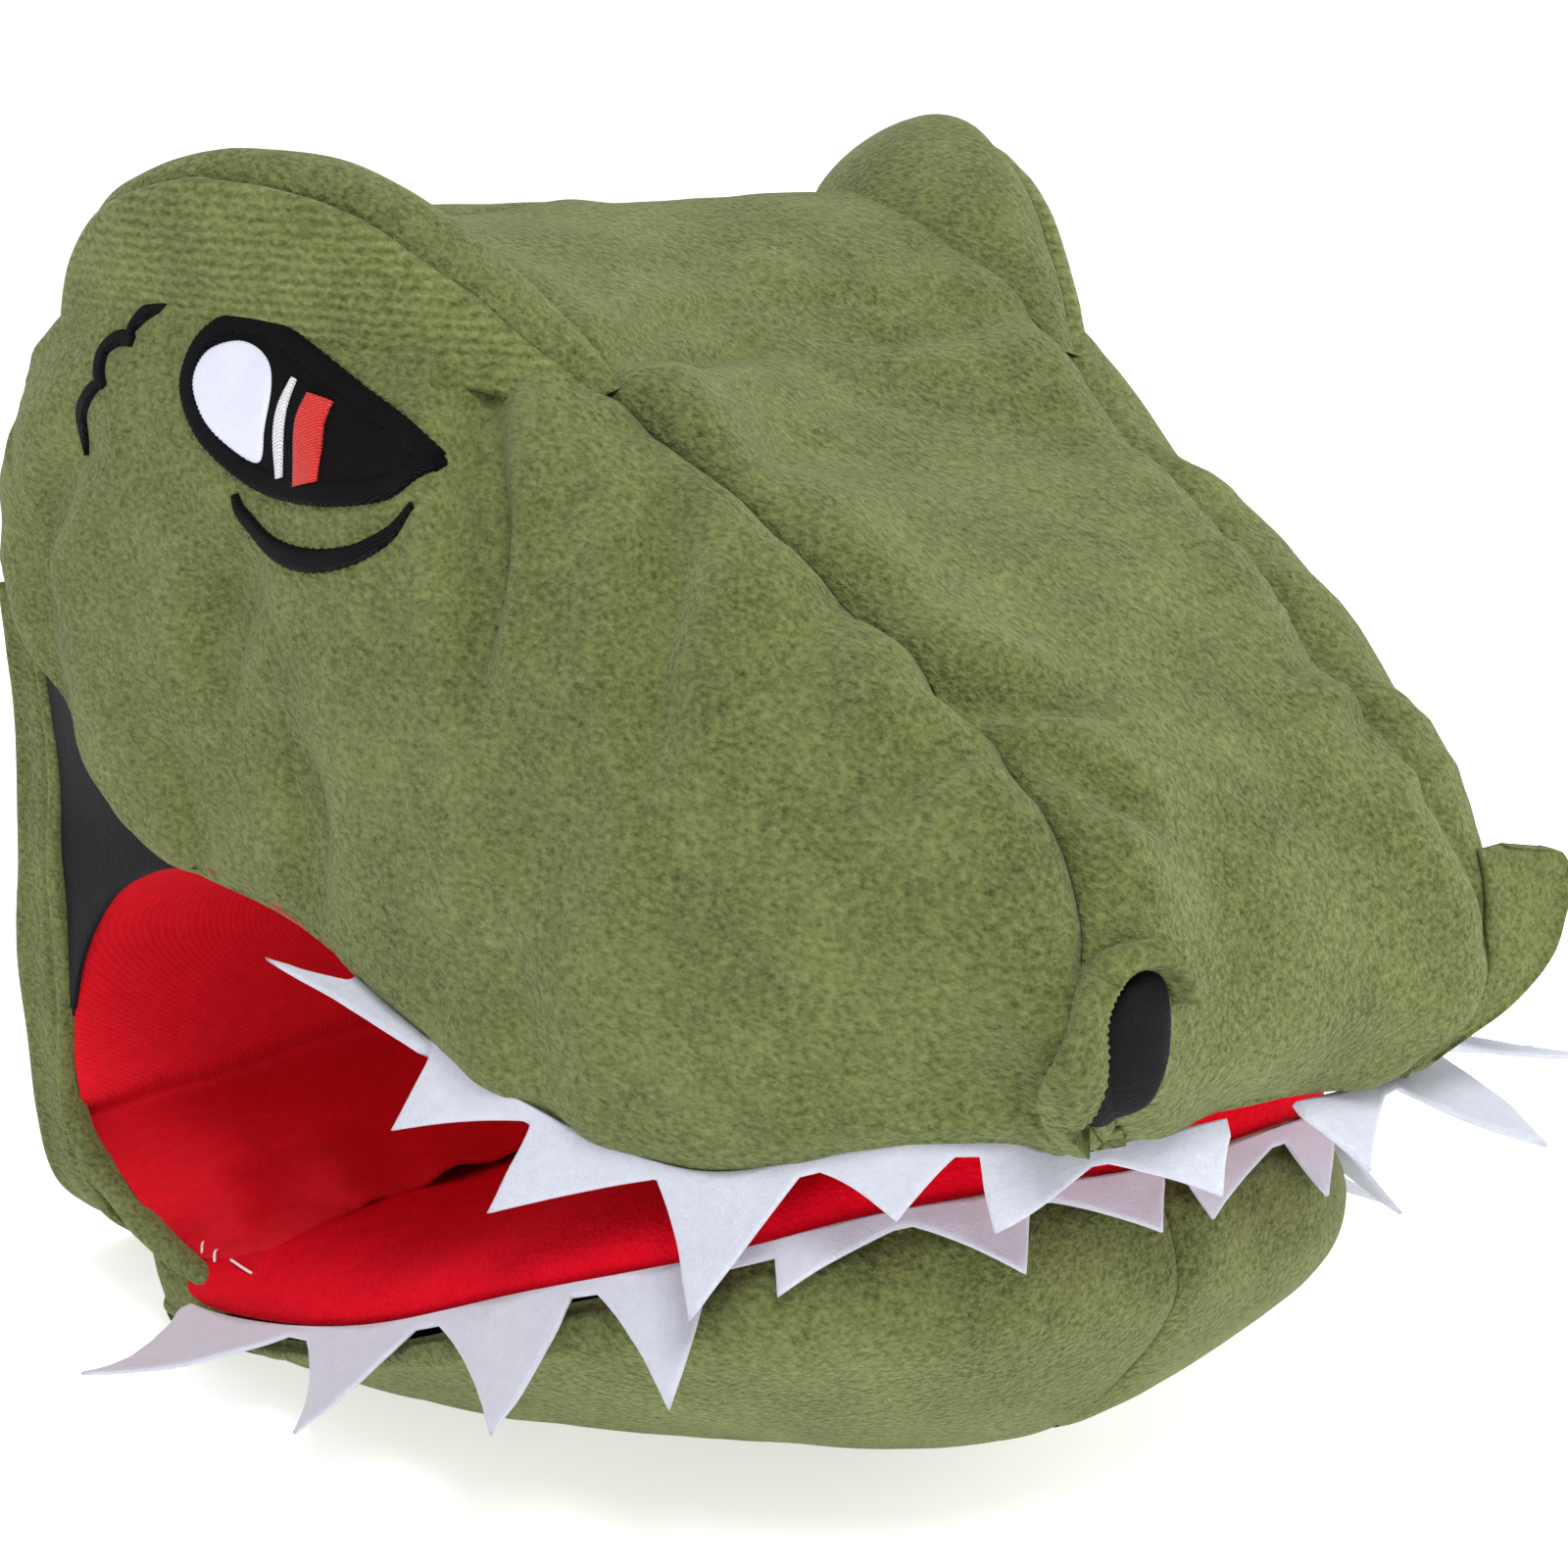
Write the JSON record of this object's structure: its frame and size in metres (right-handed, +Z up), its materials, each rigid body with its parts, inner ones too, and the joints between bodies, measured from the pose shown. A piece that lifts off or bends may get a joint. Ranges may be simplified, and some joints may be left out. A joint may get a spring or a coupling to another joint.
{
  "type": "moving mouth hand puppet",
  "caption": "Plush dinosaur-head hand puppet with felt teeth and a mouth that opens on a fabric hinge at its rear corners.",
  "frame": {"origin": "under the middle of the head, on the surface that the lower jaw rests on", "axes": "+Z up, +X to the puppet's left, the snout points along -Y"},
  "size_m": [0.2492, 0.3051, 0.2384],
  "materials": {
    "plush": "short-pile olive velboa",
    "black_fleece": "black fleece",
    "embroidery_black": "black satin stitch",
    "eye_white": "white satin fabric",
    "eye_red": "red satin stitch",
    "felt_white": "white felt",
    "gum_red": "red fleece",
    "twill_red": "red twill",
    "wadding": "polyester wadding",
    "board": "matte stiff board"
  },
  "bodies": {
    "lower_jaw": {"jaw_panel_left": "plush", "lower_teeth_left": "felt_white", "jaw_panel_right": "plush", "lower_teeth_right": "felt_white", "throat_lining_lower": "twill_red", "hinge_tape": "black_fleece", "gum_pad": "gum_red", "lower_mouth_board": "board", "neck_band_lower": "plush", "neck_lining_lower": "black_fleece", "jaw_wadding": "wadding"},
    "upper_head": {"side_panel_left": "plush", "brow_front_left": "plush", "brow_back_left": "plush", "brow_wadding_left": "wadding", "nostril_flap_left": "plush", "nostril_lining_left": "black_fleece", "eye_outline_left": "embroidery_black", "eye_white_left": "eye_white", "eye_iris_left": "eye_red", "upper_teeth_left": "felt_white", "corner_lining_left": "black_fleece", "neck_band_upper_left": "plush", "neck_lining_upper_left": "black_fleece", "side_panel_right": "plush", "brow_front_right": "plush", "brow_back_right": "plush", "brow_wadding_right": "wadding", "nostril_flap_right": "plush", "nostril_lining_right": "black_fleece", "eye_outline_right": "embroidery_black", "eye_white_right": "eye_white", "eye_iris_right": "eye_red", "upper_teeth_right": "felt_white", "corner_lining_right": "black_fleece", "neck_band_upper_right": "plush", "neck_lining_upper_right": "black_fleece", "snout_top_panel": "plush", "back_panel": "plush", "head_wadding": "wadding", "hand_lining": "black_fleece", "palate_lining": "twill_red", "upper_mouth_board": "board", "throat_lining_upper": "twill_red"}
  },
  "joints": [
    {"name": "mouth_hinge", "type": "hinge", "parent": "lower_jaw", "child": "upper_head", "pos_m": [0, 0.137, 0.058], "axis": [-1, 0, 0], "range_deg": [0, 32]}
  ]
}
